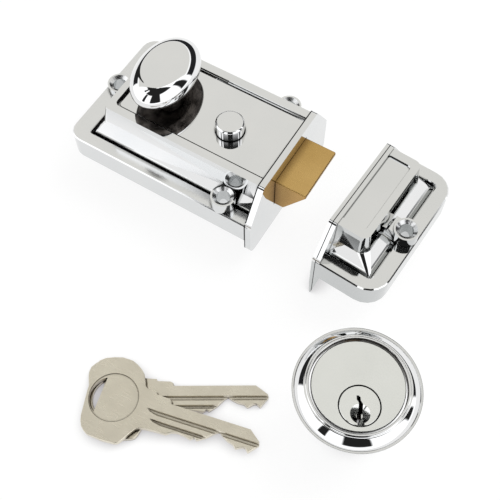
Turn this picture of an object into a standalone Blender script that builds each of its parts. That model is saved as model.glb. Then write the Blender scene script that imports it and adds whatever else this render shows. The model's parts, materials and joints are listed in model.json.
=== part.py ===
"""Rim night latch: the case with its bolt work, the keep, the rim cylinder and two keys.

Every size is in millimetres and becomes metres in a mesh. +X runs out of the bolt end and +Z
away from the door. The world's origin is the middle of the case's mounting face. The sizes below
count x from the outer face of the bolt end's plate, and one parent empty, "layout", moves all of
it by half the case's length.
"""

from math import atan2, cos, degrees, dist, pi, radians, sin, sqrt

import bmesh
import bpy
from mathutils import Matrix, Vector

MM = 0.001
GAP = 0.3  # running and assembly clearance

# Case
CASE_LENGTH = 92.0
CASE_HALF = 31.9
CASE_HEIGHT = 27.5
TOP_HALF = 21.0
RIM_HEIGHT = 11.6
RIM_WIDTH = 5.7
RIM_CORNER = 6.5
TROUGH = 9.8  # lowest level between the rim and the raised body
SHOULDER = 17.0  # where the sloped foot turns into the steep wall
PANEL = 26.1
GROOVE = 25.7
WALL = 2.0
PLATE = 3.0  # thickness of the bolt end's plate
LIP = 9.5  # how far that plate hooks over the door's edge
BOSS_R = 5.2
BOSS_TOP = 17.0
SCREW_HOLE_R = 3.0
BOSSES = ((-16.0, -26.7), (-16.0, 26.7), (-86.2, 0.0))
POSTS = ((-8.0, 16.3), (-8.0, -16.3), (-72.0, 15.0))  # take the back plate's screws

# Bolt work
THROW = 14.0
BOLT_HALF = 12.7
BOLT_LOW, BOLT_TOP = 5.0, 21.4
BOLT_REAR = -8.5
TAIL_LOW, TAIL_TOP = 8.0, 10.0
SPRING_Y, SPRING_Z = 15.5, 14.5
SPRING_STOP = -50.0
EAR_FRONT, EAR_REAR = -20.5, -22.0

# Knob and spindle
AXIS = (-60.2, 0.8)
KNOB_TURN = 70.0
KNOB_REST = 3.6  # degrees that the oval stands off square
CRANK_R = THROW / (2 * sin(radians(KNOB_TURN / 2)))
SPINDLE_R = 3.4
SQUARE = 5.0

# Snib
SNIB = (-27.0, -3.2)
SNIB_R = 6.0
SNIB_TOP = 31.9
SNIB_TRAVEL = 3.0

# Keep
KEEP_AT = (33.15, 1.03)
KEEP_TURN = -3.6
KEEP_LENGTH = 26.6
KEEP_HALF = 32.2
KEEP_PLATE = 3.4
KEEP_LIP = 16.6
PROUD = 0.5  # how far the plates stand over the castings
FLOOR = -KEEP_LIP - 0.2

# Rim cylinder, in its own frame: its face is at z = 0 and it hangs towards -z
FACE_Z = 22.0
CYLINDER_AT = (68.3, -71.2, FACE_Z)
CYLINDER_TURN = 31.2
FACE_R = 16.9
BARREL_R = 16.0
BARREL_LENGTH = 28.4
RING_R = 23.4
PLUG_R = 7.35
PLUG_Y = -7.4
PIN_COUNT = 6
PIN_FIRST, PIN_PITCH = -6.0, -3.9
PIN_R = 1.25
CHAMBER_R = 1.6
KEY_PIN_LENGTHS = (3.2, 4.4, 3.7, 5.1, 3.4, 4.1)

# Keys, with the centre of the bow's disc as origin and the blade along +X
KEY_THICK = 2.4
KEY_TOP = 4.9
KEY_DISC = ((0.5, 0.5), 9.9)
KEY_GROOVE = 0.7  # depth
KEYS = (("key_1", (-13.9, -113.2), 13.2, FLOOR + 1.5 * KEY_THICK + GAP),
        ("key_2", (-13.6, -111.9), 31.5, FLOOR + 0.5 * KEY_THICK))

COLOURS = {
    "chrome": ((0.80, 0.80, 0.80, 1), 0.08, 1.0),
    "satin_chrome": ((0.72, 0.72, 0.70, 1), 0.25, 1.0),
    "brass": ((0.78, 0.57, 0.30, 1), 0.30, 1.0),
    "nickel": ((0.66, 0.62, 0.54, 1), 0.35, 1.0),
    "steel": ((0.48, 0.49, 0.50, 1), 0.35, 1.0),
    "spring_steel": ((0.35, 0.36, 0.38, 1), 0.30, 1.0),
}


def clear_scene():
    for obj in list(bpy.data.objects):
        bpy.data.objects.remove(obj, do_unlink=True)


def new_collection(name):
    collection = bpy.data.collections.new(name)
    bpy.context.scene.collection.children.link(collection)
    return collection


clear_scene()
LATCH = new_collection("rim_night_latch")
HELPERS = new_collection("cutters_and_joined_shapes")
MATERIALS = {}
LAYOUT = bpy.data.objects.new("layout", None)
LAYOUT.location.x = CASE_LENGTH / 2 * MM
LAYOUT.empty_display_size = 0.01
LATCH.objects.link(LAYOUT)


def material(name):
    if name not in MATERIALS:
        colour, roughness, metallic = COLOURS[name]
        made = bpy.data.materials.new(name)
        made.use_nodes = True
        shader = made.node_tree.nodes["Principled BSDF"]
        shader.inputs["Base Color"].default_value = colour
        shader.inputs["Roughness"].default_value = roughness
        shader.inputs["Metallic"].default_value = metallic
        MATERIALS[name] = made
    return MATERIALS[name]


def empty(name, at, turn=0.0, frame=None):
    """A frame for pieces that belong together: a joint's axis, or a loose piece's own place."""
    made = bpy.data.objects.new(name, None)
    made.location = Vector((*at, 0.0)[:3]) * MM
    made.rotation_euler.z = radians(turn)
    made.empty_display_size = 0.01
    made.parent = frame or LAYOUT
    LATCH.objects.link(made)
    return made


def place(name, bm, frame, finish):
    """Makes an object of a bmesh in millimetres; without a finish it is a helper shape."""
    bmesh.ops.recalc_face_normals(bm, faces=bm.faces)
    bmesh.ops.scale(bm, vec=(MM, MM, MM), verts=bm.verts)
    mesh = bpy.data.meshes.new(name)
    bm.to_mesh(mesh)
    bm.free()
    obj = bpy.data.objects.new(name, mesh)
    obj.parent = frame or LAYOUT
    if finish:
        mesh.materials.append(material(finish))
        LATCH.objects.link(obj)
    else:
        HELPERS.objects.link(obj)
        obj.hide_render = True
        obj.display_type = "WIRE"
    return obj


def box(name, low, high, frame=None, finish=None):
    bm = bmesh.new()
    bmesh.ops.create_cube(bm, size=1.0)
    size = [high[i] - low[i] for i in range(3)]
    centre = [(high[i] + low[i]) / 2 for i in range(3)]
    bmesh.ops.scale(bm, vec=size, verts=bm.verts)
    bmesh.ops.translate(bm, vec=centre, verts=bm.verts)
    return place(name, bm, frame, finish)


def rod(name, at, radius, low, high, frame=None, finish=None, along="z", sides=24, top=None):
    """A cylinder, or a cone with another radius at its high end, along one axis."""
    bm = bmesh.new()
    bmesh.ops.create_cone(bm, cap_ends=True, segments=sides, radius1=radius,
                          radius2=radius if top is None else top, depth=high - low)
    bmesh.ops.translate(bm, vec=(0, 0, (high + low) / 2), verts=bm.verts)
    turn = {"z": Matrix(), "x": Matrix.Rotation(pi / 2, 4, "Y"), "y": Matrix.Rotation(-pi / 2, 4, "X")}
    bmesh.ops.transform(bm, matrix=turn[along], verts=bm.verts)
    bmesh.ops.translate(bm, vec=at, verts=bm.verts)
    obj = place(name, bm, frame, finish)
    return smooth(obj)


def loft(name, rings, frame=None, finish=None):
    """A closed body through rings of equally many points, the first and last of them capped."""
    bm = bmesh.new()
    rows = [[bm.verts.new(point) for point in ring] for ring in rings]
    for low, high in zip(rows, rows[1:]):
        for i in range(len(low)):
            j = (i + 1) % len(low)
            bm.faces.new((low[i], low[j], high[j], high[i]))
    bm.faces.new(rows[0])
    bm.faces.new(rows[-1])
    return place(name, bm, frame, finish)


def arc(centre, radius, start, end, steps=6):
    """Points of an arc, with its angles in degrees."""
    angles = [radians(start + (end - start) * i / steps) for i in range(steps + 1)]
    return [(centre[0] + radius * cos(a), centre[1] + radius * sin(a)) for a in angles]


def round_rect(x_low, x_high, half, radius, z, steps=5):
    corners = ((x_high - radius, half - radius, 0), (x_low + radius, half - radius, 90),
               (x_low + radius, radius - half, 180), (x_high - radius, radius - half, 270))
    return [(x, y, z) for cx, cy, start in corners
            for x, y in arc((cx, cy), radius, start, start + 90, steps)]


def flat(name, outline, low, high, frame=None, finish=None, plane="xy"):
    """A flat outline as a filled curve extruded from low to high, and made a mesh."""
    curve = bpy.data.curves.new(name, "CURVE")
    curve.dimensions = "2D"
    curve.fill_mode = "BOTH"
    curve.extrude = (high - low) / 2 * MM
    spline = curve.splines.new("POLY")
    spline.points.add(len(outline) - 1)
    for point, (x, y) in zip(spline.points, outline):
        point.co = (x * MM, y * MM, 0, 1)
    spline.use_cyclic_u = True
    guide = bpy.data.objects.new(name, curve)
    HELPERS.objects.link(guide)
    graph = bpy.context.evaluated_depsgraph_get()
    mesh = bpy.data.meshes.new_from_object(guide.evaluated_get(graph))
    bpy.data.objects.remove(guide)
    bm = bmesh.new()
    bm.from_mesh(mesh)
    bpy.data.meshes.remove(mesh)
    bmesh.ops.remove_doubles(bm, verts=bm.verts, dist=0.001 * MM)
    bmesh.ops.scale(bm, vec=(1 / MM,) * 3, verts=bm.verts)
    bmesh.ops.translate(bm, vec=(0, 0, (low + high) / 2), verts=bm.verts)
    if plane == "yz":
        bmesh.ops.transform(bm, matrix=Matrix(((0, 0, 1, 0), (1, 0, 0, 0), (0, 1, 0, 0), (0, 0, 0, 1))),
                            verts=bm.verts)
    if plane == "xz":
        bmesh.ops.transform(bm, matrix=Matrix(((1, 0, 0, 0), (0, 0, 1, 0), (0, 1, 0, 0), (0, 0, 0, 1))),
                            verts=bm.verts)
    return place(name, bm, frame, finish)


def turned(name, profile, at, frame=None, finish=None, steps=32):
    """A lathe piece: profile is (radius, z) from the top down the outside, then back up any bore."""
    mesh = bpy.data.meshes.new(name)
    closed = profile[0][0] > 0
    edges = [(i, i + 1) for i in range(len(profile) - 1)]
    if closed:
        edges.append((len(profile) - 1, 0))
    mesh.from_pydata([(r * MM, 0, z * MM) for r, z in profile], edges, [])
    obj = bpy.data.objects.new(name, mesh)
    obj.location = Vector((*at, 0.0)[:3]) * MM
    obj.parent = frame or LAYOUT
    screw = obj.modifiers.new("turn", "SCREW")
    screw.axis = "Z"
    screw.steps = screw.render_steps = steps
    screw.use_merge_vertices = True
    screw.merge_threshold = 0.00001
    screw.use_smooth_shade = True
    if finish:
        mesh.materials.append(material(finish))
        LATCH.objects.link(obj)
    else:
        HELPERS.objects.link(obj)
        obj.hide_render = True
        obj.display_type = "WIRE"
    return obj


def smooth(obj, angle=35):
    obj.data.shade_smooth()
    obj.data.set_sharp_from_angle(angle=radians(angle))
    return obj


def combine(obj, helper, operation):
    modifier = obj.modifiers.new(helper.name, "BOOLEAN")
    modifier.operation = operation
    modifier.object = helper
    modifier.solver = "EXACT"
    return obj


def cut(obj, *helpers):
    for helper in helpers:
        combine(obj, helper, "DIFFERENCE")


def join(obj, *helpers):
    for helper in helpers:
        combine(obj, helper, "UNION")


def chamfer(obj, width, angle=50):
    bevel = obj.modifiers.new("edges", "BEVEL")
    bevel.width = width * MM
    bevel.segments = 1
    bevel.limit_method = "ANGLE"
    bevel.angle_limit = radians(angle)


def coil(name, start, end, radius, wire, turns, finish, frame=None, sides=9):
    """A compression spring between two points on one axis."""
    start, end = Vector(start), Vector(end)
    along = (end - start).normalized()
    across = along.orthogonal().normalized()
    other = along.cross(across)
    count = turns * sides
    curve = bpy.data.curves.new(name, "CURVE")
    curve.dimensions = "3D"
    curve.bevel_depth = wire * MM
    curve.bevel_resolution = 1
    curve.use_fill_caps = True
    spline = curve.splines.new("POLY")
    spline.points.add(count)
    for i, point in enumerate(spline.points):
        angle = 2 * pi * i / sides
        centre = start.lerp(end, i / count)
        co = (centre + radius * (cos(angle) * across + sin(angle) * other)) * MM
        point.co = (*co, 1)
    curve.materials.append(material(finish))
    obj = bpy.data.objects.new(name, curve)
    obj.parent = frame or LAYOUT
    LATCH.objects.link(obj)
    return obj


# ---------------------------------------------------------------- case


def boss(name, at, top, towards, frame=None):
    """A screw pillar with a narrower, lower tongue that runs back into the raised body."""
    pillar = rod(name + "_pillar", (*at, 0), BOSS_R, GAP, top, frame, sides=40)
    half = 3.6
    dx, dy = towards
    side_x, side_y = (0, half) if dx else (half, 0)
    low = [min(at[0], at[0] + dx) - side_x, min(at[1], at[1] + dy) - side_y, TROUGH - 1.0]
    high = [max(at[0], at[0] + dx) + side_x, max(at[1], at[1] + dy) + side_y, top - 0.9]
    return [pillar, box(name + "_tongue", low, high, frame)]


def screw_hole(name, at, top, frame=None):
    hole = rod(name + "_hole", (*at, 0), SCREW_HOLE_R, -1, top + 1, frame)
    sink = rod(name + "_sink", (*at, 0), SCREW_HOLE_R, top - 1.0, top + 0.4, frame, top=SCREW_HOLE_R + 2.0)
    return [hole, sink]


def eased(before, corner, after, reach):
    """A corner of an outline cut by a curve that starts and ends at reach from it."""
    start, end = ([corner[k] + (other[k] - corner[k]) * reach / dist(corner, other) for k in (0, 1)]
                  for other in (before, after))
    curve = []
    for i in range(5):
        t = i / 4
        curve.append([(1 - t) ** 2 * start[k] + 2 * t * (1 - t) * corner[k] + t**2 * end[k] for k in (0, 1)])
    return curve


def plate_outline(half, top_half, rim, height, lip, corner):
    """Bolt end's plate seen along X: a trapezium over a straight lip, with rounded corners."""
    top, side = (top_half, height), (half, rim)
    right = eased((0, height), top, side, 1.1) + eased(top, side, (half, 0), 1.6)
    right += arc((half - corner, corner - lip), corner, 0, -90, 5)
    return right + [(-y, z) for y, z in reversed(right)]


def make_case():
    rings = [  # left end, half width, corner radius, height
        (-CASE_LENGTH, CASE_HALF, RIM_CORNER, 0),
        (-CASE_LENGTH, CASE_HALF, RIM_CORNER, RIM_HEIGHT - 0.5),
        (-CASE_LENGTH + 0.5, CASE_HALF - 0.5, RIM_CORNER - 0.5, RIM_HEIGHT),
        (-CASE_LENGTH + 7.9, CASE_HALF - RIM_WIDTH + 0.3, 1.5, RIM_HEIGHT),
        (-CASE_LENGTH + 8.2, CASE_HALF - RIM_WIDTH, 1.2, RIM_HEIGHT - 0.3),
        (-CASE_LENGTH + 8.2, CASE_HALF - RIM_WIDTH, 1.2, TROUGH),
        (-CASE_LENGTH + 8.7, CASE_HALF - RIM_WIDTH - 0.5, 1.0, TROUGH),
        (-79.2, TOP_HALF + 0.8, 2.0, SHOULDER),
        (-77.3, TOP_HALF, 2.0, CASE_HEIGHT),
        (-74.4, TOP_HALF - 3.6, 2.0, CASE_HEIGHT),
        (-74.2, TOP_HALF - 3.8, 2.0, GROOVE),
        (-73.3, TOP_HALF - 4.7, 1.5, GROOVE),
        (-73.2, TOP_HALF - 4.8, 1.5, PANEL),
    ]
    case = loft("case_body", [round_rect(x, -x, y, r, z) for x, y, r, z in rings], finish="chrome")
    cut(case, box("bolt_end_trim", (-PLATE / 2, -50, -5), (120, 50, 60)))
    outline = plate_outline(CASE_HALF, TOP_HALF + PROUD, RIM_HEIGHT, CASE_HEIGHT + PROUD, LIP, 4.5)
    join(case, flat("bolt_end_plate", outline, -PLATE, 0, plane="yz"))
    hollow = [  # left end, right end, half width, corner radius, height
        (-CASE_LENGTH + WALL, -PLATE - 0.2, CASE_HALF - WALL, 6.0, -1.0),
        (-CASE_LENGTH + WALL, -PLATE - 0.2, CASE_HALF - WALL, 6.0, TROUGH - 1.4),
        (-82.0, -PLATE - 0.7, 24.6, 2.0, TROUGH - 1.4),
        (-76.8, -PLATE - 0.7, TOP_HALF - 1.6, 1.5, SHOULDER - 0.5),
        (-75.3, -PLATE - 0.7, TOP_HALF - 1.8, 1.5, GROOVE - WALL),
    ]
    cut(case, loft("case_hollow", [round_rect(*ring) for ring in hollow]))
    for i, (x, y) in enumerate(BOSSES):
        towards = (8.5, 0) if y == 0 else (0, -5.5 if y > 0 else 5.5)
        top = BOSS_TOP if y else BOSS_TOP - 1.6
        join(case, *boss(f"boss_{i}", (x, y), top, towards))
    for i, (x, y) in enumerate(POSTS):
        join(case, rod(f"post_{i}", (x, y, 0), 2.8, 2.4, GROOVE - 1, sides=16))
    for side in (-1, 1):
        low, high = sorted((side * 12.6, side * (TOP_HALF - 1)))
        join(case, box(f"spring_stop_{side}", (SPRING_STOP - 2, low, 11.4), (SPRING_STOP, high, GROOVE - 1)))
    for i, (x, y) in enumerate(BOSSES):
        cut(case, *screw_hole(f"boss_{i}", (x, y), BOSS_TOP if y else BOSS_TOP - 1.6))
    for i, (x, y) in enumerate(POSTS):
        cut(case, rod(f"post_hole_{i}", (x, y, 0), 1.6, 1, 11, sides=16))
    mouth = BOLT_HALF + GAP
    cut(case, box("bolt_mouth", (-PLATE - 1.2, -mouth, BOLT_LOW - GAP), (1, mouth, BOLT_TOP + GAP)))
    cut(case, rod("spindle_hole", (*AXIS, 0), 6.3, GROOVE - 4, PANEL + 1, sides=32))
    cut(case, rod("snib_hole", (*SNIB, 0), SNIB_R + 0.35, GROOVE - 4, PANEL + 1, sides=32))
    for side in (-1, 1):
        cut(case, rod(f"rod_seat_{side}", (0, side * SPRING_Y, SPRING_Z), 1.5,
                      SPRING_STOP - 3, SPRING_STOP + 1, along="x", sides=12))
    smooth(case, 25)


def make_back_plate():
    plate = loft("back_plate", [round_rect(-78.0, -4.2, 20.8, 2.5, z, 3) for z in (0.0, 1.5)], finish="steel")
    cut(plate, rod("follower_hole", (*AXIS, 0), 6.3, -1, 4, sides=32))
    for i, (x, y) in enumerate(POSTS):
        cut(plate, rod(f"plate_sink_{i}", (x, y, 0), 3.3, -0.2, 1.8, top=1.7, sides=20))
        name = f"back_plate_screw_{i + 1}"
        profile = [(0, 9.5), (1.3, 9.5), (1.3, 1.5), (2.6, 0.2), (0, 0.2)]
        turned(name, profile, (x, y), finish="steel", steps=16)


# ---------------------------------------------------------------- bolt work


def make_bolt():
    frame = empty("bolt_slide", (0, 0, 0))
    side_view = [(BOLT_REAR, BOLT_TOP), (THROW, BOLT_TOP), (THROW, BOLT_TOP - 1.6), (4.6, BOLT_LOW + 0.6),
                 (2.6, BOLT_LOW), (BOLT_REAR, BOLT_LOW)]
    head = flat("latch_bolt", side_view, -BOLT_HALF, BOLT_HALF, frame, "brass", plane="xz")
    chamfer(head, 0.35)
    tongue = 11.0
    cut(head, box("tongue_slot", (BOLT_REAR - 1, -tongue - GAP, TAIL_LOW - GAP),
                  (-2.2, tongue + GAP, TAIL_TOP + GAP), frame))
    for i, y in enumerate((-6.5, 6.5)):
        cut(head, rod(f"bolt_pin_hole_{i}", (-5.4, y, 0), 1.8, 4, 16, frame, sides=12))
    edge = 18.4
    outline = [(-2.6, -tongue), (-2.6, tongue), (-12.5, tongue), (-12.5, 12.9), (-18.5, 12.9),
               (EAR_FRONT, edge), (-24.0, edge), (-26.0, 4.0), (-31.0, 0.8), (-34.0, -5.2), (-58.0, -5.2),
               (-58.0, -15.6), (-27.0, -15.6), (-24.0, -edge), (EAR_FRONT, -edge), (-18.5, -12.9),
               (-12.5, -12.9), (-12.5, -tongue)]
    tail = flat("bolt_tail", outline, TAIL_LOW, TAIL_TOP, frame, "steel")
    for side in (-1, 1):
        low, high = sorted((side * 13.0, side * edge))
        join(tail, box(f"ear_{side}", (EAR_REAR, low, TAIL_LOW + 0.5), (EAR_FRONT, high, 17.3), frame))
        cut(tail, rod(f"ear_hole_{side}", (0, side * SPRING_Y, SPRING_Z), 1.6,
                      EAR_REAR - 1, EAR_FRONT + 1, frame, along="x", sides=12))
    crank_x = AXIS[0] + CRANK_R * sin(radians(KNOB_TURN / 2))
    near = AXIS[1] - CRANK_R * cos(radians(KNOB_TURN / 2)) + 1.5 + GAP
    far = AXIS[1] - CRANK_R - 1.5 - GAP
    cut(tail, box("crank_slot", (crank_x - 2.0, far, TAIL_LOW - 1), (crank_x + 2.0, near, TAIL_TOP + 1), frame))
    for i, x in enumerate((SNIB[0], SNIB[0] + THROW)):
        cut(tail, rod(f"snib_catch_{i}", (x, SNIB[1], 0), 2.5, TAIL_LOW - 1, TAIL_TOP + 1, frame, sides=20))
    for i, y in enumerate((-6.5, 6.5)):
        cut(tail, rod(f"tail_pin_hole_{i}", (-5.4, y, 0), 1.8, TAIL_LOW - 1, TAIL_TOP + 1, frame, sides=12))
        rod(f"bolt_pin_{i + 1}", (-5.4, y, 0), 1.5, BOLT_LOW + 0.4, 15.6, frame, "steel", sides=12)


def make_bolt_springs():
    for i, side in enumerate((-1, 1)):
        y = side * SPRING_Y
        coil(f"bolt_spring_{i + 1}", (SPRING_STOP + 0.9, y, SPRING_Z), (EAR_REAR - 0.9, y, SPRING_Z),
             2.1, 0.4, 7, "spring_steel", sides=8)
        rod(f"spring_rod_{i + 1}", (0, y, SPRING_Z), 1.2, SPRING_STOP - 1.6, -18.0, None, "steel",
            along="x", sides=12)


# ---------------------------------------------------------------- knob


def oval(half_long, half_short, z, count=44):
    """An ellipse whose long axis lies across the case."""
    angles = [2 * pi * i / count for i in range(count)]
    return [(half_short * cos(a), half_long * sin(a), z) for a in angles]


def make_knob():
    frame = empty("knob_turn", (*AXIS, 0))
    long_half, short_half, middle = 19.0, 12.8, 36.7
    face_long, face_short, face = 13.9, 9.8, 42.9
    under_long, under_short, under = 12.0, 8.5, 33.0
    rings = [oval(6.2, 6.2, under + 0.4), oval(under_long, under_short, under)]
    for i in range(1, 9):  # from the underside round the bulge and up to the face's edge
        t = radians(-90 + 180 * i / 9)
        low = t < 0
        reach = cos(t)
        edge_long, edge_short = (under_long, under_short) if low else (face_long, face_short)
        height = (middle - under if low else face - middle) * sin(t)
        rings.append(oval(edge_long + (long_half - edge_long) * reach,
                          edge_short + (short_half - edge_short) * reach, middle + height))
    rings += [oval(face_long, face_short, face), oval(face_long - 0.5, face_short - 0.5, face - 0.25)]
    head = loft("knob_head", rings, frame, "chrome")
    head.rotation_euler.z = radians(KNOB_REST)
    smooth(head, 40)
    cut(head, rod("knob_socket", (0, 0, 0), 4.3, 30, 38, frame, sides=24))
    stem = [(0, 37.6), (4.0, 37.6), (4.0, 33.0), (5.9, 33.0), (5.4, 30.0), (5.6, 27.6), (6.8, 26.5),
            (3.8, 26.5), (3.8, 34.0), (0, 34.0)]
    turned("knob_stem", stem, (0, 0), frame, "chrome", steps=28)
    profile = [(0, 33.7), (SPINDLE_R, 33.7), (SPINDLE_R, 22.2), (2.7, 22.2), (2.7, 21.0),
               (SPINDLE_R, 21.0), (SPINDLE_R, 14.0), (0, 14.0)]
    spindle = turned("knob_spindle", profile, (0, 0), frame, "steel", steps=20)
    half = SQUARE / 2
    join(spindle, box("spindle_square", (-half, -half, 5.6), (half, half, 15.0), frame))
    ring = turned("spindle_clip", [(5.4, 22.0), (5.4, 21.2), (3.0, 21.2), (3.0, 22.0)], (0, 0), frame,
                  "spring_steel", steps=24)
    cut(ring, box("clip_mouth", (2.0, -1.6, 20), (7, 1.6, 23), frame))
    make_cam(frame)


def make_cam(frame):
    angle = -90 + KNOB_TURN / 2
    pin = (CRANK_R * cos(radians(angle)), CRANK_R * sin(radians(angle)))
    hub_r, tip_r = 6.0, 3.2
    spread = degrees(atan2(sqrt(CRANK_R**2 - (hub_r - tip_r) ** 2), hub_r - tip_r))
    outline = arc((0, 0), hub_r, angle + spread, angle + 360 - spread, 16)
    outline += arc(pin, tip_r, angle - spread, angle + spread, 8)
    cam = flat("retractor_cam", outline, 11.0, 13.6, frame, "steel")
    join(cam, rod("crank_pin", (*pin, 0), 1.5, 7.2, 12.0, frame, sides=16))
    half = SQUARE / 2 + GAP
    cut(cam, box("cam_square", (-half, -half, 10), (half, half, 15), frame))


def make_bush():
    turned("spindle_bush", [(6.0, 26.0), (6.0, 23.3), (7.4, 23.3), (7.4, 22.4), (3.75, 22.4), (3.75, 26.0)],
           AXIS, None, "brass")


def make_follower():
    frame = empty("follower_turn", (*AXIS, 0))
    hub = turned("rear_follower", [(0, 10.6), (4.6, 10.6), (4.6, 4.0), (8.0, 4.0), (8.0, 2.3), (6.0, 2.3),
                                   (6.0, 0.4), (0, 0.4)], (0, 0), frame, "brass", steps=28)
    half = SQUARE / 2 + GAP
    cut(hub, box("follower_square", (-half, -half, 5.3), (half, half, 12), frame))
    cut(hub, box("follower_slot", (-1.1, -3.9, -1), (1.1, 3.9, 4.2), frame))


# ---------------------------------------------------------------- snib


def make_snib():
    frame = empty("snib_press", (*SNIB, 0))
    turned("snib_button", [(0, SNIB_TOP), (SNIB_R - 0.7, SNIB_TOP), (SNIB_R, SNIB_TOP - 0.7), (SNIB_R, 25.0),
                           (0, 25.0)], (0, 0), frame, "chrome", steps=40)
    plunger = [(0, 24.7), (2.2, 24.7), (2.2, 23.9), (4.0, 23.9), (4.0, 22.5), (2.2, 22.5), (2.2, 14.8),
               (1.6, 14.8), (1.6, 13.9), (2.2, 13.9), (2.2, 10.8), (1.8, 10.4), (0, 10.4)]
    turned("snib_plunger", plunger, (0, 0), frame, "steel", steps=20)
    clip = turned("snib_clip", [(3.7, 14.7), (3.7, 14.0), (1.9, 14.0), (1.9, 14.7)], (0, 0), frame,
                  "spring_steel", steps=20)
    cut(clip, box("snib_clip_mouth", (-5, -1.2, 13), (-1.0, 1.2, 16), frame))
    x, y = SNIB
    cage_half = SNIB_R + 0.4
    cage = box("snib_cage", (x - 7, y - cage_half - 1.2, 15.1), (x + 3.8, y + cage_half + 1.2, 23.3), None,
               "steel")
    cut(cage, box("cage_inside", (x - 8, y - cage_half, 16.2), (x + 5, y + cage_half, 25)))
    cut(cage, rod("cage_hole", (x, y, 0), 2.55, 14, 18, sides=20))
    coil("snib_spring", (x, y, 16.9), (x, y, 22.0), 3.0, 0.3, 3, "spring_steel", sides=12)


# ---------------------------------------------------------------- keep


def make_keep():
    frame = empty("keep_lift", KEEP_AT, KEEP_TURN)
    rings = [  # right end, half width, corner radius, height
        (KEEP_LENGTH, KEEP_HALF, 9.5, 0),
        (KEEP_LENGTH, KEEP_HALF, 9.5, RIM_HEIGHT - 0.5),
        (KEEP_LENGTH - 0.5, KEEP_HALF - 0.5, 9.0, RIM_HEIGHT),
        (KEEP_LENGTH - 6.1, KEEP_HALF - RIM_WIDTH + 0.3, 1.8, RIM_HEIGHT),
        (KEEP_LENGTH - 6.4, KEEP_HALF - RIM_WIDTH, 1.5, RIM_HEIGHT - 0.3),
        (KEEP_LENGTH - 6.4, KEEP_HALF - RIM_WIDTH, 1.5, TROUGH),
        (KEEP_LENGTH - 6.9, KEEP_HALF - RIM_WIDTH - 0.5, 1.2, TROUGH),
        (14.3, TOP_HALF + 1.1, 4.0, SHOULDER),
        (13.2, TOP_HALF + 0.3, 3.0, CASE_HEIGHT),
        (10.2, TOP_HALF - 3.4, 1.5, CASE_HEIGHT),
        (10.1, TOP_HALF - 3.5, 1.5, CASE_HEIGHT - 1.0),
    ]
    keep = loft("keep_body", [round_rect(-x, x, y, r, z) for x, y, r, z in rings], frame, "chrome")
    cut(keep, box("keep_trim", (-60, -50, -5), (-KEEP_PLATE / 2, 50, 60), frame))
    outline = plate_outline(KEEP_HALF, TOP_HALF + 0.4 + PROUD, RIM_HEIGHT, CASE_HEIGHT + PROUD, 1.0, 0.9)
    join(keep, flat("keep_plate", outline, -KEEP_PLATE, 0, frame, plane="yz"))
    outer = -KEEP_PLATE + 0.05
    wedge = [(outer, 1.5), (1.1, 1.5), (0.9, 0.0), (-2.2, -KEEP_LIP), (-2.8, -KEEP_LIP), (outer, -8)]
    join(keep, flat("keep_lip", wedge, 0.05 - KEEP_HALF, KEEP_HALF - 0.05, frame, plane="xz"))
    under = [(1.6, KEEP_LENGTH - WALL, KEEP_HALF - WALL, 7.5, -1.0),
             (1.6, KEEP_LENGTH - WALL, KEEP_HALF - WALL, 7.5, TROUGH - 1.6)]
    cut(keep, loft("keep_underside", [round_rect(*ring) for ring in under], frame))
    cut(keep, box("keep_recess", (-KEEP_PLATE - 1, -14.0, 4.0), (11.0, 14.0, 22.4), frame))
    at = (KEEP_LENGTH - BOSS_R - 0.15, -2.0)
    join(keep, *boss("keep_boss", at, BOSS_TOP, (-7.0, 0), frame))
    cut(keep, *screw_hole("keep_boss", at, BOSS_TOP, frame))
    for side in (-1, 1):
        cut(keep, rod(f"lip_hole_{side}", (0, side * 22.0, -6.0), 2.2, -6, 4, frame, along="x", sides=20))
    smooth(keep, 25)


# ---------------------------------------------------------------- rim cylinder


def make_cylinder():
    frame = empty("cylinder_lift", CYLINDER_AT, CYLINDER_TURN)
    bottom = -BARREL_LENGTH
    body = turned("cylinder_body", [(0, 0), (FACE_R - 0.3, 0), (FACE_R, -0.3), (FACE_R, -2.0), (BARREL_R, -2.0),
                                    (BARREL_R, bottom + 0.5), (BARREL_R - 0.5, bottom), (0, bottom)],
                  (0, 0, 0), frame, "satin_chrome", steps=48)
    cut(body, rod("plug_bore", (0, PLUG_Y, 0), PLUG_R + GAP, bottom - 1, 1, frame, sides=40))
    for i in range(PIN_COUNT):
        z = PIN_FIRST + PIN_PITCH * i
        cut(body, rod(f"chamber_{i}", (0, 0, z), CHAMBER_R, PLUG_Y + PLUG_R - 1, BARREL_R + 1, frame,
                      along="y", sides=12))
    cut(body, box("cover_channel", (-2.4, 14.0, bottom - 1), (2.4, BARREL_R + 1, -4.2), frame))
    for i, x in enumerate((-10.0, 10.0)):
        cut(body, rod(f"retainer_hole_{i}", (x, 5.0, 0), 1.6, bottom - 1, bottom + 7, frame, sides=12))
        cut(body, rod(f"fixing_hole_{i}", (x + (1.5 if x > 0 else -1.5), -5.5, 0), 2.2, bottom - 1, bottom + 12,
                      frame, sides=16))
    box("chamber_cover", (-2.1, 14.3, bottom + 0.3), (2.1, 15.4, -4.6), frame, "brass")
    make_ring(frame)
    make_pins(frame)
    make_retainer(frame, bottom)
    make_plug(frame, bottom)


def make_ring(frame):
    bore = FACE_R + 0.65
    profile = [(18.5, 0.4), (18.7, 0.25), (18.95, 0.15), (22.7, -2.55), (23.2, -2.95), (RING_R, -3.15),
               (RING_R, -3.25), (RING_R - 0.15, -3.4), (BARREL_R + 0.4, -3.4), (BARREL_R + 0.4, -2.3),
               (bore, -2.3), (bore, 0.15), (bore + 0.3, 0.4)]
    turned("cylinder_ring", profile, (0, 0, 0), frame, "chrome", steps=48)


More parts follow.
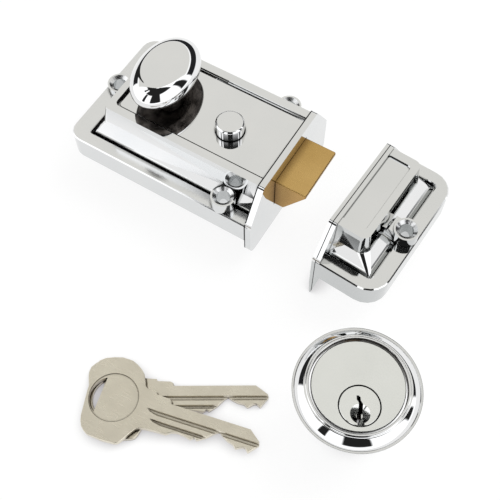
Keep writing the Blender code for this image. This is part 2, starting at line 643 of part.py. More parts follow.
def make_pins(frame):
    """Driver pins and springs stay in the body; the key pins belong to the plug."""
    shear = PLUG_Y + PLUG_R
    for i in range(PIN_COUNT):
        z = PIN_FIRST + PIN_PITCH * i
        rod(f"driver_pin_{i + 1}", (0, 0, z), PIN_R, shear + GAP + 0.1, shear + 4.6, frame, "brass",
            along="y", sides=12)
        coil(f"pin_spring_{i + 1}", (0, shear + 5.2, z), (0, 13.6, z), 0.95, 0.2, 4, "spring_steel", frame, 7)


def make_retainer(frame, bottom):
    plate = turned("retainer_plate", [(0, bottom - 0.3), (14.2, bottom - 0.3), (14.2, bottom - 1.7),
                                      (0, bottom - 1.7)], (0, 0, 0), frame, "steel", steps=32)
    cut(plate, rod("bar_hole", (0, PLUG_Y, 0), 4.2, bottom - 3, bottom + 1, frame, sides=24))
    for i, x in enumerate((-10.0, 10.0)):
        cut(plate, rod(f"retainer_clear_{i}", (x, 5.0, 0), 1.7, bottom - 3, bottom + 1, frame, sides=12))
        cut(plate, rod(f"fixing_clear_{i}", (x + (1.2 if x > 0 else -1.2), -5.5, 0), 2.3, bottom - 3,
                       bottom + 1, frame, sides=16))
        profile = [(0, bottom + 5.5), (1.3, bottom + 5.5), (1.3, bottom - 2.0), (2.5, bottom - 2.0),
                   (2.5, bottom - 3.2), (2.1, bottom - 3.5), (0, bottom - 3.5)]
        turned(f"retainer_screw_{i + 1}", profile, (x, 5.0), frame, "steel", steps=16)


def make_plug(frame, bottom):
    axis = empty("plug_turn", (0, PLUG_Y, 0), frame=frame)
    plug = turned("cylinder_plug", [(0, 0), (PLUG_R - 0.25, 0), (PLUG_R, -0.25), (PLUG_R, bottom + 0.2),
                                    (0, bottom + 0.2)], (0, 0, 0), axis, "satin_chrome", steps=40)
    keyway = [(-1.25, -PLUG_R - 1), (1.25, -PLUG_R - 1), (1.25, -4.6), (0.6, -3.8), (0.6, -2.6), (1.2, -1.6),
              (1.2, 0.6), (0.5, 1.9), (0.5, 3.0), (-0.1, 3.7), (-0.9, 3.7), (-0.9, 2.2), (-0.3, 1.3), (-0.3, -1.2),
              (-1.0, -2.4), (-1.0, -4.0), (-1.25, -4.8)]
    cut(plug, flat("keyway", keyway, bottom - 2, 2, axis))
    cut(plug, rod("keyhole_cone", (0, -2.9, 0), 1.2, -2.6, 0.1, axis, sides=32, top=3.65))
    cut(plug, box("bar_seat", (-4.0, -1.1, bottom - 1), (4.0, 1.1, bottom + 2.6), axis))
    top = PLUG_R - 0.25
    for i, length in enumerate(KEY_PIN_LENGTHS):
        z = PIN_FIRST + PIN_PITCH * i
        cut(plug, rod(f"plug_chamber_{i}", (0, 0, z), CHAMBER_R, 1.5, PLUG_R + 1, axis, along="y", sides=12))
        tip = min(1.2, length / 3)
        key_pin(f"key_pin_{i + 1}", z, top, length, tip, axis)
    bar_half, bar_thick, end = 3.5, 0.8, FLOOR - FACE_Z
    bar = box("tail_bar", (-bar_half, -bar_thick, end), (bar_half, bar_thick, bottom + 2.2), axis, "steel")
    for i, z in enumerate((end + 2.6, end + 5.2)):  # break-off notches
        for side in (-1, 1):
            x = side * bar_half
            cut(bar, rod(f"notch_{i}_{side}", (x, 0, z), 0.7, -2, 2, axis, along="y", sides=4))


def key_pin(name, z, top, length, tip, frame):
    """A key pin lying along Y: a rod whose lower end is a blunt cone."""
    sides = 12
    bm = bmesh.new()
    rows = []
    for radius, y in ((PIN_R * 0.35, -length), (PIN_R, tip - length), (PIN_R, 0)):
        circle = arc((0, z), radius, 0, 360 * (sides - 1) / sides, sides - 1)
        rows.append([bm.verts.new((x, top + y, across)) for x, across in circle])
    for low, high in zip(rows, rows[1:]):
        for i in range(sides):
            bm.faces.new((low[i], low[i - 1], high[i - 1], high[i]))
    bm.faces.new(rows[0])
    bm.faces.new(rows[-1])
    return smooth(place(name, bm, frame, "brass"))


# ---------------------------------------------------------------- keys


def key_outline():
    """Tall bow with a straight left edge, stepped neck, plain back along the top and cuts below."""
    bow = [(-11.4, 9.4), (-11.3, 11.0), (-10.6, 13.0), (-8.6, 14.8), (-5.3, 16.2), (-0.6, 17.1), (2.1, 17.0),
           (4.4, 16.1), (6.7, 14.8), (8.5, 13.1), (10.0, 10.4), (10.6, 8.9), (11.6, 8.1)]
    neck = [(15.8, 7.8), (16.3, 6.9), (21.5, 6.7), (22.5, 6.1), (23.0, KEY_TOP)]
    nose = [(55.4, KEY_TOP), (60.0, 1.3), (60.4, 0.0), (57.0, -4.0)]
    cuts = [(55.6, -2.6), (54.4, -2.7), (52.0, -4.0), (50.6, -2.7), (48.2, -2.1), (46.0, -0.9), (44.4, 0.2),
            (43.2, -0.4), (40.2, -3.3), (36.9, -5.5), (35.9, -4.8), (34.4, -5.9), (32.2, -5.4), (29.3, -5.0),
            (26.7, -5.6), (24.8, -7.0)]
    under = [(20.0, -7.2), (16.4, -7.5), (14.3, -7.9), (13.1, -8.7), (11.2, -11.7)]
    heel = [(9.4, -14.8), (8.5, -15.9), (7.2, -16.4), (2.0, -16.7), (-3.8, -16.2), (-5.5, -15.4), (-7.1, -14.0),
            (-8.2, -12.1), (-8.9, -10.0), (-10.4, -0.5)]
    return bow + neck + nose + cuts + under + heel


def key_groove(name, start, end, low, high, frame):
    """A groove along the blade's upper face: sloping sides, and a pointed start where the cutter ran in."""
    top = KEY_THICK / 2
    floor = top - KEY_GROOVE
    rings = []
    for x, share in ((start, 0.05), (start + 1.5, 0.6), (start + 4.5, 1.0), (end, 1.0)):
        edge = high - (high - low) * share
        bed = top - (top - floor) * share
        slope = 0.35 * share
        rings.append([(x, edge - slope, top + slope), (x, edge + slope, bed), (x, high - slope, bed),
                      (x, high + slope, top + slope)])
    return loft(name, rings, frame)


def make_keys():
    for name, at, turn, middle in KEYS:
        frame = empty(name + "_lift", (*at, middle), turn)
        half = KEY_THICK / 2
        key = flat(name, key_outline(), -half, half, frame, "nickel")
        chamfer(key, 0.15, 70)
        centre, radius = KEY_DISC
        cut(key, rod(name + "_disc", (*centre, 0), radius, half - 0.25, half + 1, frame, sides=48))
        hole = arc((-1.0, 0.1), 8.2, 180 - 62, 180 + 62, 10)
        cut(key, flat(name + "_hole", hole, -half - 1, half + 1, frame))
        cut(key, key_groove(name + "_long_groove", 14.5, 62.0, -1.1, 0.6, frame))
        cut(key, key_groove(name + "_short_groove", 17.0, 45.0, -4.5, -3.1, frame))
        cut(key, box(f"{name}_back_groove", (18.0, 1.6, -half - 1), (62.0, 3.0, 0.6 - half), frame))


make_case()
make_back_plate()
make_bolt()
make_bolt_springs()
make_bush()
make_knob()
make_follower()
make_snib()
make_keep()
make_cylinder()
make_keys()
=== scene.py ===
"""The looks of the rim night latch: finer shells over the CAD pieces, metals, studio and camera.

The frame is the CAD frame, in metres: the origin is the middle of the case's mounting face, +X runs
out of the bolt end and +Z away from the door. The sizes named here are in millimetres unless their
comment says metres, and the angles are in degrees.
"""

import json
from math import cos, pi, radians, sin, tan

import bmesh
import bpy
from mathutils import Matrix, Vector


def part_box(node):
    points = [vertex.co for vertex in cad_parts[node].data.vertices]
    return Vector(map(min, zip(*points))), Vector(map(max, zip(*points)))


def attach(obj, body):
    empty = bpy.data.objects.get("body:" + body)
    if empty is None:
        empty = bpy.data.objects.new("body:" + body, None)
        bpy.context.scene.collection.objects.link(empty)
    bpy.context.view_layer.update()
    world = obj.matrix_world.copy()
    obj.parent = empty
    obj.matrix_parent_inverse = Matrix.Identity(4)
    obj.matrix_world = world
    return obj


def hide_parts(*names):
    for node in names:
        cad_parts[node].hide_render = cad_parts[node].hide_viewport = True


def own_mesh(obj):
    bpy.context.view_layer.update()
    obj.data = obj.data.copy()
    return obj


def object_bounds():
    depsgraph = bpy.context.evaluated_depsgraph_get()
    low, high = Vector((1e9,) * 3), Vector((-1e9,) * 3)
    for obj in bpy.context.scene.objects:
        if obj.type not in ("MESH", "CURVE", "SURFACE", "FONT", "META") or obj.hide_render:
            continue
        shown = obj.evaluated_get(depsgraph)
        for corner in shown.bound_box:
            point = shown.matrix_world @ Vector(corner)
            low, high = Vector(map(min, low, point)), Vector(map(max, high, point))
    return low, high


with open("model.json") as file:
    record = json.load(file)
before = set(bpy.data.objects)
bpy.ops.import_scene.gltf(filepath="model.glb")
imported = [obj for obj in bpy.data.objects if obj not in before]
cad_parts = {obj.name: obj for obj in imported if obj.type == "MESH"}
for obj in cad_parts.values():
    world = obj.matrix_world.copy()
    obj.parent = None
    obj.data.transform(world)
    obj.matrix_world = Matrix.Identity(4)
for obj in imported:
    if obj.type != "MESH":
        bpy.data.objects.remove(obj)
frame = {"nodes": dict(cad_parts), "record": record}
CAD_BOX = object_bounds()

MM = 0.001
NODES = frame["nodes"]
BEHAVIOUR = frame["record"]["behaviour"]
BODY_OF = {node: body for body, nodes in BEHAVIOUR["bodies"].items() for node in nodes}
SLOT_OF = {part["node"]: part["material_slot"] for part in frame["record"]["subparts"]}


# ---------------------------------------------------------------- materials


class Nodes:
    """A small helper that adds and joins shader nodes."""

    def __init__(self, tree):
        self.tree = tree

    def add(self, kind, inputs=None, **settings):
        """One node: sockets are linked to its inputs, and numbers are set on them."""
        node = self.tree.nodes.new(kind)
        for name, value in settings.items():
            setattr(node, name, value)
        for name, value in (inputs or {}).items():
            if isinstance(value, bpy.types.NodeSocket):
                self.tree.links.new(value, node.inputs[name])
            else:
                node.inputs[name].default_value = value
        return node

    def math(self, operation, *values):
        """One math node; its values are sockets or numbers."""
        return self.add("ShaderNodeMath", dict(enumerate(values)), operation=operation).outputs[0]

    def place(self):
        """The shaded point in the piece's own coordinates, which are the CAD frame's at rest."""
        return self.add("ShaderNodeTexCoord").outputs["Object"]

    def along(self, axis):
        """One coordinate of the shaded point: X, Y or Z."""
        return self.add("ShaderNodeSeparateXYZ", {0: self.place()}).outputs[axis]

    def noise(self, scale, detail=4.0, stretch=(1, 1, 1), turn=0.0):
        """Noise in the piece's own coordinates: scale in waves per metre, turn in radians."""
        mapped = self.add("ShaderNodeMapping", {"Vector": self.place(), "Scale": stretch,
                                                "Rotation": (0, 0, turn)})
        made = self.add("ShaderNodeTexNoise", {"Vector": mapped.outputs[0], "Scale": scale, "Detail": detail})
        return made.outputs["Fac"]

    def span(self, value, low, high, start=0.3, end=0.7):
        """Runs from low to high as the value runs from start to end."""
        made = self.add("ShaderNodeMapRange", {"Value": value, "From Min": start, "From Max": end,
                                               "To Min": low, "To Max": high})
        return made.outputs[0]

    def mix(self, factor, first, second, blend="MIX"):
        """A colour that goes from first to second with the factor."""
        made = self.add("ShaderNodeMix", data_type="RGBA", blend_type=blend)
        for socket, value in ((0, factor), (6, first), (7, second)):
            if isinstance(value, bpy.types.NodeSocket):
                self.tree.links.new(value, made.inputs[socket])
            else:
                made.inputs[socket].default_value = value
        return made.outputs[2]


SHADOW = (0.02, 0.02, 0.02)  # colour of the painted shade in crevices, and of the joint lines, in chrome and steel
FAR_SIDE = 20  # how far towards +Y a crevice's reach has changed to its far_reach
POLISH_DRIFT = 2.3  # how much finer the polish drifts than the colour


def crevices(nodes, colour, reach=1.2, far_reach=None, closed=0.35, clear=0.8, crevice_shade=SHADOW):
    """Darkens the colour with painted shade where something stands within reach.

    A point has the full painted shade when less than closed of its view is free, and none above
    clear. With a far_reach, the reach changes to that from the middle of the piece towards +Y.
    """
    distance = reach * MM
    if far_reach:
        distance = nodes.span(nodes.along("Y"), reach * MM, far_reach * MM, 0.0, FAR_SIDE * MM)
    # painted shade: the ambient occlusion darkens the colour near other surfaces
    free = nodes.add("ShaderNodeAmbientOcclusion", {"Distance": distance}, samples=8).outputs["AO"]
    return nodes.mix(nodes.span(free, 1.0, 0.0, closed, clear), colour, (*crevice_shade, 1))


def joint_line(nodes, colour, across, at, width):
    """Draws the thin dark line where a casting meets its plate."""
    distance = nodes.add("ShaderNodeVectorMath", {0: nodes.place(), 1: across}, operation="DOT_PRODUCT")
    line = nodes.math("COMPARE", distance.outputs["Value"], at * MM, width / 2 * MM)
    return nodes.mix(line, colour, (*SHADOW, 1))


def paint_steep_shade(nodes, colour, steep_shade, start, end):
    """Darkens steep faces with painted shade: fully where their normal rises less than start, and not at all
    above end.
    """
    normal = nodes.add("ShaderNodeNewGeometry").outputs["Normal"]
    rise = nodes.math("ABSOLUTE", nodes.add("ShaderNodeSeparateXYZ", {0: normal}).outputs["Z"])
    return nodes.mix(nodes.span(rise, 1.0, 0.0, start, end), colour, (*steep_shade, 1), blend="MULTIPLY")


def fine_grain(nodes, shader, roughness, scale, rough, bump, stretch=(1, 1, 1), turn=0.0):
    """A fine texture in the surface and in its roughness, with a scale in waves per metre."""
    fine = nodes.noise(scale, 3.0, stretch, turn)
    height = nodes.add("ShaderNodeBump", {"Height": fine, "Distance": bump * MM, "Strength": 1.0})
    nodes.tree.links.new(height.outputs[0], shader.inputs["Normal"])
    streak = nodes.span(fine, -rough, rough)
    return nodes.add("ShaderNodeMath", {0: roughness, 1: streak}, operation="ADD", use_clamp=True).outputs[0]


def soft_flats(nodes, roughness, level, band, rough):
    """Softens the polish of the flats at one height."""
    on_level = nodes.math("COMPARE", nodes.along("Z"), level * MM, band * MM)
    return nodes.math("MAXIMUM", roughness, nodes.math("MULTIPLY", on_level, rough))


def metal(name, light, dark, polish, cloud, crevice=None, seam=None, steep=None, grain=None, flats=None):
    """A metal whose colour and polish drift softly, under the layers that the functions above make.

    light and dark are the two ends of its colour, polish the two ends of its roughness, and cloud the
    scale of the drift in waves per metre. The rest are the settings of each layer.
    """
    made = bpy.data.materials.new(name)
    made.use_nodes = True
    nodes = Nodes(made.node_tree)
    shader = made.node_tree.nodes["Principled BSDF"]
    shader.inputs["Metallic"].default_value = 1.0
    colour = nodes.mix(nodes.span(nodes.noise(cloud), 0.0, 1.0), (*light, 1), (*dark, 1))
    # every metal gets painted shade in its crevices
    colour = crevices(nodes, colour, **(crevice or {}))
    if seam:
        colour = joint_line(nodes, colour, **seam)
    if steep:
        # painted shade on the steep faces
        colour = paint_steep_shade(nodes, colour, **steep)
    roughness = nodes.span(nodes.noise(cloud * POLISH_DRIFT), *polish)
    if grain:
        roughness = fine_grain(nodes, shader, roughness, **grain)
    if flats:
        roughness = soft_flats(nodes, roughness, **flats)
    nodes.tree.links.new(colour, shader.inputs["Base Color"])
    nodes.tree.links.new(roughness, shader.inputs["Roughness"])
    return made


KEEP_TURN = -3.6  # how far the keep stands off square
ACROSS_KEEP = (cos(radians(KEEP_TURN)), sin(radians(KEEP_TURN)), 0)
RIM_FLATS = {"level": 11.6, "band": 0.35}  # the tops of the rims round the case and the keep
CHROME = {"light": (0.81, 0.81, 0.81), "dark": (0.78, 0.785, 0.79), "polish": (0.02, 0.045), "cloud": 60.0}
FINISHES = {
    "chrome": {**CHROME, "crevice": {"reach": 2.0, "closed": 0.4}},
    "case_chrome": {
        **CHROME,
        "crevice": {"reach": 2.0, "far_reach": 0.5, "closed": 0.4},
        "seam": {"across": (1, 0, 0), "at": 43.15, "width": 0.65},
        # the case's steep walls are a little darker: painted shade
        "steep": {"steep_shade": (0.88, 0.89, 0.89), "start": 0.05, "end": 0.2},
        "flats": {**RIM_FLATS, "rough": 0.14},
    },
    "keep_chrome": {
        "light": (0.79, 0.79, 0.79), "dark": (0.765, 0.77, 0.77), "polish": (0.02, 0.045), "cloud": 60.0,
        "crevice": {"reach": 0.8, "closed": 0.4},
        "seam": {"across": ACROSS_KEEP, "at": 77.1, "width": 0.35},
        # the keep's steep walls are darker: painted shade
        "steep": {"steep_shade": (0.70, 0.715, 0.715), "start": 0.05, "end": 0.2},
        "flats": {**RIM_FLATS, "rough": 0.075},
    },
    "satin_chrome": {
        "light": (0.85, 0.86, 0.84), "dark": (0.81, 0.82, 0.80), "polish": (0.14, 0.19), "cloud": 80.0,
        "crevice": {"reach": 2.0, "closed": 0.5, "clear": 0.9},
        "grain": {"scale": 900.0, "rough": 0.03, "bump": 0.004},
    },
    "soft_chrome": {
        "light": (0.74, 0.74, 0.74), "dark": (0.66, 0.665, 0.67), "polish": (0.2, 0.26), "cloud": 200.0,
        "crevice": {"reach": 0.5, "closed": 0.3},
    },
    # near-black chrome: painted shade for the knob's underside and stem and the ring's bore
    "painted_shade_chrome": {
        "light": (0.13, 0.115, 0.105), "dark": (0.012, 0.01, 0.009), "polish": (0.32, 0.45), "cloud": 260.0,
        "crevice": {"reach": 0.3},
    },
    "brass": {
        "light": (0.66, 0.435, 0.165), "dark": (0.55, 0.35, 0.12), "polish": (0.26, 0.34), "cloud": 45.0,
        # brown painted shade in the hollows of the brass
        "crevice": {"reach": 4.0, "closed": 0.3, "clear": 1.0, "crevice_shade": (0.22, 0.11, 0.03)},
        # the steep faces of the brass are darker and browner: painted shade
        "steep": {"steep_shade": (0.74, 0.68, 0.6), "start": 0.6, "end": 0.95},
        "grain": {"scale": 2500.0, "rough": 0.04, "bump": 0.003, "stretch": (0.04, 1, 1)},
    },
    "nickel": {
        "light": (0.76, 0.71, 0.60), "dark": (0.70, 0.65, 0.545), "polish": (0.28, 0.36), "cloud": 120.0,
        # dark brown painted shade in the key's grooves
        "crevice": {"reach": 0.9, "closed": 0.72, "clear": 0.98, "crevice_shade": (0.05, 0.032, 0.014)},
        "grain": {"scale": 3200.0, "rough": 0.07, "bump": 0.006, "stretch": (0.08, 1, 1), "turn": -0.4},
    },
    "steel": {
        "light": (0.55, 0.56, 0.57), "dark": (0.46, 0.47, 0.48), "polish": (0.28, 0.42), "cloud": 90.0,
        "grain": {"scale": 1800.0, "rough": 0.06, "bump": 0.006, "stretch": (0.08, 1, 1)},
    },
    "spring_steel": {
        "light": (0.40, 0.41, 0.43), "dark": (0.32, 0.33, 0.35), "polish": (0.25, 0.35), "cloud": 150.0,
        "grain": {"scale": 2000.0, "rough": 0.05, "bump": 0.004},
    },
}
MATERIALS = {name: metal(name, **settings) for name, settings in FINISHES.items()}
# the knob's stem is painted near black as shade
OWN_FINISH = {"case_body": "case_chrome", "keep_body": "keep_chrome", "knob_stem": "painted_shade_chrome"}


def set_finish(obj, node):
    """Gives an object the finish of a CAD node: its own one, or that of its material slot."""
    obj.data.materials.clear()
    obj.data.materials.append(MATERIALS[OWN_FINISH.get(node, SLOT_OF[node])])


def second_finish(obj, finish, chosen):
    """Gives another finish to the faces for which chosen is true."""
    obj.data.materials.append(MATERIALS[finish])
    for face in obj.data.polygons:
        face.material_index = 1 if chosen(face) else 0


# ---------------------------------------------------------------- CAD pieces with finer edges

# Pieces whose CAD shape is right but whose edges need rounding, and the radius
EDGE_RADIUS = {
    "case_body": 0.50, "keep_body": 0.50, "latch_bolt": 0.12, "snib_button": 0.30, "knob_stem": 0.20,
    "cylinder_body": 0.10, "cylinder_plug": 0.06, "key_1": 0.14, "key_2": 0.14, "back_plate": 0.15,
    "rear_follower": 0.12, "retainer_plate": 0.12, "tail_bar": 0.10,
}
EDGE_ANGLE = 28  # edges sharper than this are rounded
FLAT_ANGLE = 0.6  # triangles that turn less than this are one flat
MERGE = 0.002  # corners nearer than this are one corner

SPRINGS = {  # the joint at each spring, and the spring's axis
    "bolt_spring_1": ("bolt_slide", 0), "bolt_spring_2": ("bolt_slide", 0), "snib_spring": ("snib_press", 2),
}

# The countersinks are the small tilted facets at the tops of the screw bosses
BOSSED = ("case_body", "keep_body")
COUNTERSINK_HEIGHTS = (12.0, 17.0)
COUNTERSINK_RISES = (0.3, 0.95)  # height of a facet's unit normal
COUNTERSINK_FACET = 4.0  # largest area, in square millimetres


def whole_mesh(node):
    """A CAD node's mesh with its triangles joined into whole flats."""
    bm = bmesh.new()
    bm.from_mesh(NODES[node].data)
    bmesh.ops.remove_doubles(bm, verts=bm.verts, dist=MERGE * MM)
    bmesh.ops.dissolve_limit(bm, angle_limit=radians(FLAT_ANGLE), verts=bm.verts, edges=bm.edges)
    return bm


def stand_in(name, bm, node):
    """Makes the piece that is shown in place of a CAD node, on the node's body and in its finish."""
    mesh = bpy.data.meshes.new(name)
    bm.to_mesh(mesh)
    bm.free()
    mesh.shade_smooth()
    obj = bpy.data.objects.new(name, mesh)
    bpy.context.scene.collection.objects.link(obj)
    set_finish(obj, node)
    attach(obj, BODY_OF[node])
    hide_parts(node)
    return obj


def with_round_edges(node, radius):
    """A CAD node again, with its edges rounded."""
    obj = stand_in("fine_" + node, whole_mesh(node), node)
    bevel = obj.modifiers.new("edges", "BEVEL")
    bevel.width = radius * MM
    bevel.segments = 3
    bevel.limit_method = "ANGLE"
    bevel.angle_limit = radians(EDGE_ANGLE)
    bevel.miter_outer = "MITER_ARC"
    normals = obj.modifiers.new("normals", "WEIGHTED_NORMAL")
    normals.keep_sharp = True
    normals.weight = 80
    return obj


def is_countersink(face):
    """True for a facet of a countersink."""
    low, high = COUNTERSINK_HEIGHTS
    steepest, flattest = COUNTERSINK_RISES
    on_boss = low < face.center.z / MM < high and steepest < face.normal.z < flattest
    return on_boss and face.area < COUNTERSINK_FACET * MM * MM


def spring(node):
    """A spring shown in place of its CAD node, with a mesh of its own."""
    coil = stand_in("fine_" + node, whole_mesh(node), node)
    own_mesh(coil)


# ---------------------------------------------------------------- knob

# Half lengths and half widths of the knob's ovals, and the angle that they stand off square
UNDERSIDE, BULGE, FACE = (12.0, 8.5), (19.0, 12.8), (12.4, 8.4)
KNOB_REST = 3.6
KNOB_WIDEST = 36.7  # height of the bulge
CROWN = 1.5  # above 1 the shoulder round the face is flatter
FACE_RINGS = (0.92, 0.7, 0.35)  # sizes of the rings within the face
FACE_DISH = 0.01  # how far the face sinks towards its middle
UNDER_TILT = -0.03  # faces whose unit normal is lower than this are painted near black as shade
KNOB_SIDES, KNOB_LEVELS = 96, 28


def knob_head():
    """The oval knob again with a finer surface: rings of an ellipse from the underside to the face."""
    low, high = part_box("knob_head")
    centre = (low + high) / 2
    widest = KNOB_WIDEST * MM
    turn = Matrix.Rotation(radians(KNOB_REST), 2)
    bm = bmesh.new()

    def ring(long_half, short_half, z):
        made = []
        for i in range(KNOB_SIDES):
            t = 2 * pi * i / KNOB_SIDES
            x, y = turn @ Vector((short_half * MM * cos(t), long_half * MM * sin(t)))
            made.append(bm.verts.new((centre.x + x, centre.y + y, z)))
        return made

    rings = [ring(*UNDERSIDE, low.z)]
    for i in range(1, KNOB_LEVELS):
        t = radians(-90 + 180 * i / KNOB_LEVELS)
        edge = UNDERSIDE if t < 0 else FACE
        reach = cos(t) ** (1.0 if t < 0 else CROWN)
        height = ((widest - low.z) if t < 0 else (high.z - widest)) * sin(t)
        rings.append(ring(*(e + (b - e) * reach for e, b in zip(edge, BULGE)), widest + height))
    rings.append(ring(*FACE, high.z))
    for part in FACE_RINGS:
        rings.append(ring(*(side * part for side in FACE), high.z - FACE_DISH * MM * (1 - part)))
    for lower, upper in zip(rings, rings[1:]):
        for i in range(KNOB_SIDES):
            j = (i + 1) % KNOB_SIDES
            bm.faces.new((lower[i], lower[j], upper[j], upper[i]))
    bm.faces.new(rings[-1])
    bm.faces.new(reversed(rings[0]))
    obj = stand_in("fine_knob_head", bm, "knob_head")
    # the knob's underside is painted near black as shade
    second_finish(obj, "painted_shade_chrome", lambda face: face.normal.z < UNDER_TILT)


# ---------------------------------------------------------------- ring of the cylinder

RING_BORE = 17.55  # radius
RING_SHADED = 17.67  # radius within which the ring is painted near black as the shade in its gap round the cylinder
RING_LIP = 0.4  # height of the lip over the cylinder's face
LIP_EDGE = 0.1  # height of the lip's upright edge
LIP_HALF = 0.55  # half the width of the lip's round top
LIP_FOOT = (1.15, 0.12)  # where the lip ends: out from the bore, and over the face
LINE, LINE_WIDTH = 19.0, 0.35  # the fine line, over which the shoulder turns down
FALL = 19.4  # radius from which the shoulder falls ever steeper
TILTS = (8, 26, 28)  # slope inside the line, and what the line and the fall each add
EDGE_IN, EDGE_DOWN = 0.07, 0.25  # halfway point of the round outer edge
FOOT = 0.1  # how far the ring draws in at its foot
RING_STEP = 0.12  # distance between two circles of the shoulder
RING_SIDES = 160
SHARP_ANGLE = 40


def ring_profile(outer, face, bottom):
    """The ring's section as points of radius and height, from its bore over the lip to its foot."""
    round_top = [(LIP_HALF * (1 - cos(pi * i / 12)), LIP_EDGE + (RING_LIP - LIP_EDGE) * sin(pi * i / 12))
                 for i in range(1, 12)]
    profile = [(RING_BORE, bottom + 1), (RING_BORE, face + LIP_EDGE)]
    profile += [(RING_BORE + out, face + up) for out, up in (*round_top, LIP_FOOT)]
    radius, height = profile[-1]
    while radius < outer - EDGE_DOWN:
        past_line = min(max((radius - LINE) / LINE_WIDTH, 0), 1)
        fallen = max((radius - FALL) / (outer - FALL), 0)
        tilt = TILTS[0] + TILTS[1] * past_line + TILTS[2] * fallen
        radius += RING_STEP
        height -= RING_STEP * tan(radians(tilt))
        profile.append((radius, height))
    profile += [(outer - EDGE_IN, height - EDGE_DOWN), (outer, max(height - 2 * EDGE_DOWN, bottom + FOOT))]
    return [*profile, (outer - FOOT, bottom), (RING_BORE + 2 * FOOT, bottom)]


def cylinder_ring():
    """The rose ring again: a lip, a fine line and a shoulder that falls away ever steeper."""
    low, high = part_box("cylinder_ring")
    centre = (low + high) / 2
    bm = bmesh.new()
    circles = []
    for radius, height in ring_profile((high.x - low.x) / 2 / MM, high.z / MM - RING_LIP, low.z / MM):
        circle = []
        for i in range(RING_SIDES):
            t = 2 * pi * i / RING_SIDES
            place = (centre.x + radius * MM * cos(t), centre.y + radius * MM * sin(t), height * MM)
            circle.append(bm.verts.new(place))
        circles.append(circle)
    for inner, following in zip(circles, circles[1:] + circles[:1]):
        for i in range(RING_SIDES):
            j = (i + 1) % RING_SIDES
            bm.faces.new((inner[i], following[i], following[j], inner[j]))
    obj = stand_in("fine_cylinder_ring", bm, "cylinder_ring")
    obj.data.set_sharp_from_angle(angle=radians(SHARP_ANGLE))
    # the ring's bore is painted near black as the shade in its gap
    second_finish(obj, "painted_shade_chrome", lambda face: (face.center - centre).to_2d().length < RING_SHADED * MM)


# ---------------------------------------------------------------- all the pieces

for node_name, edge_radius in EDGE_RADIUS.items():
    piece = with_round_edges(node_name, edge_radius)
    if node_name in BOSSED:
        second_finish(piece, "soft_chrome", is_countersink)
for node_name, cad_object in NODES.items():
    if node_name not in (*EDGE_RADIUS, *SPRINGS, "knob_head", "cylinder_ring"):
        set_finish(cad_object, node_name)
knob_head()
cylinder_ring()
for node_name, (moved_by, spring_axis) in SPRINGS.items():
    spring(node_name)


# ---------------------------------------------------------------- studio

# The camera: the way back to it, and in metres the point it looks at and its distance from there
VIEW_BACK = Vector((0.2468, -0.4072, 0.8794)).normalized()
VIEW_TARGET = Vector((0.04742, -0.03448, 0.0))
VIEW_DISTANCE = 0.34991
LENS = 61.2

SKY = (1.43, 1.44, 1.45)
BACKING = (0.83, 0.825, 0.79)
HORIZON = (0.02, 0.02, 0.022)
DARK = (0.02, 0.02, 0.02)
# Azimuth (0 is the -Y side, 90 the +X side), elevation, half width, half height, shade, softness
SKY_CARDS = (
    (211, 62, 80, 28, BACKING, 5),  # what flat tops mirror to the camera
    (205, 15, 75, 14, HORIZON, 2),
    (25, 70, 72, 17, DARK, 2),  # dark ceiling
    (-60, 76, 16, 10, DARK, 2),  # its narrow end
    (-31, 60, 5, 8, SKY, 1),  # a bright gap in it
    (33, 32, 19, 24, DARK, 2),  # four dark uprights
    (-15, 30, 6, 22, DARK, 1),
    (112, 30, 8, 25, DARK, 2),
    (-104, 30, 10, 25, DARK, 2),
)

FLOOR_RADIUS = 3.0  # metres
FLOOR_GAP = 0.1  # room under the lowest piece
PAPER = (0.16, 0.16, 0.16, 1)
PAPER_GLOW = 0.87
CONTACT_SHADE = (0.3, 0.28, 0.3, 1)
CONTACT_REACH = 12.0
CONTACT_CLEAR = 0.8  # the paper is unshaded where more than this part of its view is free


def studio_world():
    """A white studio whose dark cards draw the streaks on the chrome."""
    world = bpy.data.worlds.new("studio")
    world.use_nodes = True
    bpy.context.scene.world = world
    nodes = Nodes(world.node_tree)
    background = world.node_tree.nodes["Background"]
    direction = nodes.add("ShaderNodeTexCoord").outputs["Generated"]
    up = nodes.add("ShaderNodeSeparateXYZ", {0: direction}).outputs["Z"]
    height = nodes.math("ARCSINE", up)
    flat = nodes.math("SQRT", nodes.math("SUBTRACT", 1.0, nodes.math("MULTIPLY", up, up)))

    def card(colour, azimuth, elevation, half_wide, half_high, shade, soft):
        """Lays a patch with soft edges over the sky, between two azimuths and two elevations."""
        aim = (sin(radians(azimuth)), -cos(radians(azimuth)), 0)
        made = nodes.add("ShaderNodeVectorMath", {0: direction, 1: aim}, operation="DOT_PRODUCT")
        turn = nodes.math("ARCCOSINE", nodes.math("DIVIDE", made.outputs["Value"], flat))
        rise = nodes.math("ABSOLUTE", nodes.math("SUBTRACT", height, radians(elevation)))
        masks = [nodes.add("ShaderNodeMapRange", {
            "Value": value, "From Min": radians(half - soft), "From Max": radians(half + soft),
            "To Min": 1.0, "To Max": 0.0}, interpolation_type="SMOOTHSTEP").outputs[0]
            for value, half in ((turn, half_wide), (rise, half_high))]
        return nodes.mix(nodes.math("MULTIPLY", *masks), colour, (*shade, 1))

    sky = (*SKY, 1)
    for patch in SKY_CARDS:
        sky = card(sky, *patch)
    world.node_tree.links.new(sky, background.inputs["Color"])
    background.inputs["Strength"].default_value = 1.0


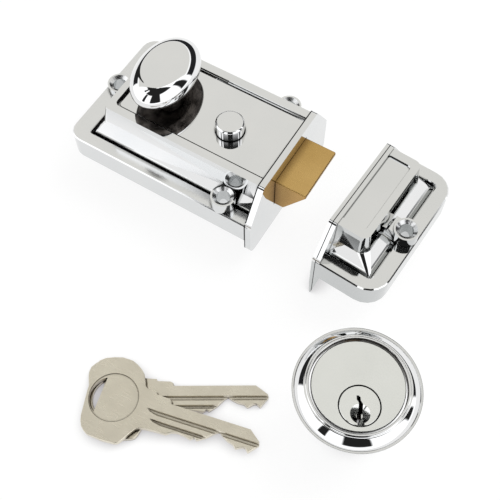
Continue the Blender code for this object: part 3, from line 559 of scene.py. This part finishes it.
def area_light(name, azimuth, elevation, distance, size, power):
    """A round soft light that no metal mirrors; its distance and size are in metres."""
    az, el = radians(azimuth), radians(elevation)
    out = Vector((sin(az) * cos(el), -cos(az) * cos(el), sin(el)))
    light = bpy.data.lights.new(name, "AREA")
    light.shape = "DISK"
    light.size = size
    light.energy = power
    obj = bpy.data.objects.new(name, light)
    obj.location = VIEW_TARGET + out * distance
    obj.rotation_mode = "QUATERNION"
    obj.rotation_quaternion = (-out).to_track_quat("-Z", "Y")
    obj.visible_glossy = False
    bpy.context.scene.collection.objects.link(obj)


def floor():
    """White paper under everything, with a painted shadow only close to what stands on it."""
    bm = bmesh.new()
    bmesh.ops.create_circle(bm, cap_ends=True, segments=96, radius=FLOOR_RADIUS)
    bmesh.ops.translate(bm, vec=(0, 0, CAD_BOX[0].z - FLOOR_GAP * MM), verts=bm.verts)
    mesh = bpy.data.meshes.new("floor")
    bm.to_mesh(mesh)
    bm.free()
    obj = bpy.data.objects.new("floor", mesh)
    bpy.context.scene.collection.objects.link(obj)
    made = bpy.data.materials.new("paper")
    made.use_nodes = True
    nodes = Nodes(made.node_tree)
    shader = made.node_tree.nodes["Principled BSDF"]
    shader.inputs["Base Color"].default_value = PAPER
    shader.inputs["Roughness"].default_value = 0.9
    shader.inputs["Specular IOR Level"].default_value = 0.0
    shader.inputs["Emission Strength"].default_value = PAPER_GLOW
    # painted contact shadow: the paper's glow darkens where the ambient occlusion finds a piece near
    free = nodes.add("ShaderNodeAmbientOcclusion", {"Distance": CONTACT_REACH * MM}, samples=16).outputs["AO"]
    shade = nodes.mix(nodes.span(free, 1.0, 0.0, 0.0, CONTACT_CLEAR), (1, 1, 1, 1), CONTACT_SHADE)
    nodes.tree.links.new(shade, shader.inputs["Emission Color"])
    mesh.materials.append(made)


def camera():
    """The camera at the view named above."""
    data = bpy.data.cameras.new("camera")
    data.lens = LENS
    data.sensor_width = 36.0
    data.clip_start = 0.01
    obj = bpy.data.objects.new("camera", data)
    obj.location = VIEW_TARGET + VIEW_BACK * VIEW_DISTANCE
    obj.rotation_mode = "QUATERNION"
    obj.rotation_quaternion = (-VIEW_BACK).to_track_quat("-Z", "Y")
    bpy.context.scene.collection.objects.link(obj)
    bpy.context.scene.camera = obj


studio_world()
area_light("key_light", azimuth=150, elevation=55, distance=1.0, size=0.7, power=4.0)
floor()
camera()
bpy.context.scene.view_settings.view_transform = "Standard"
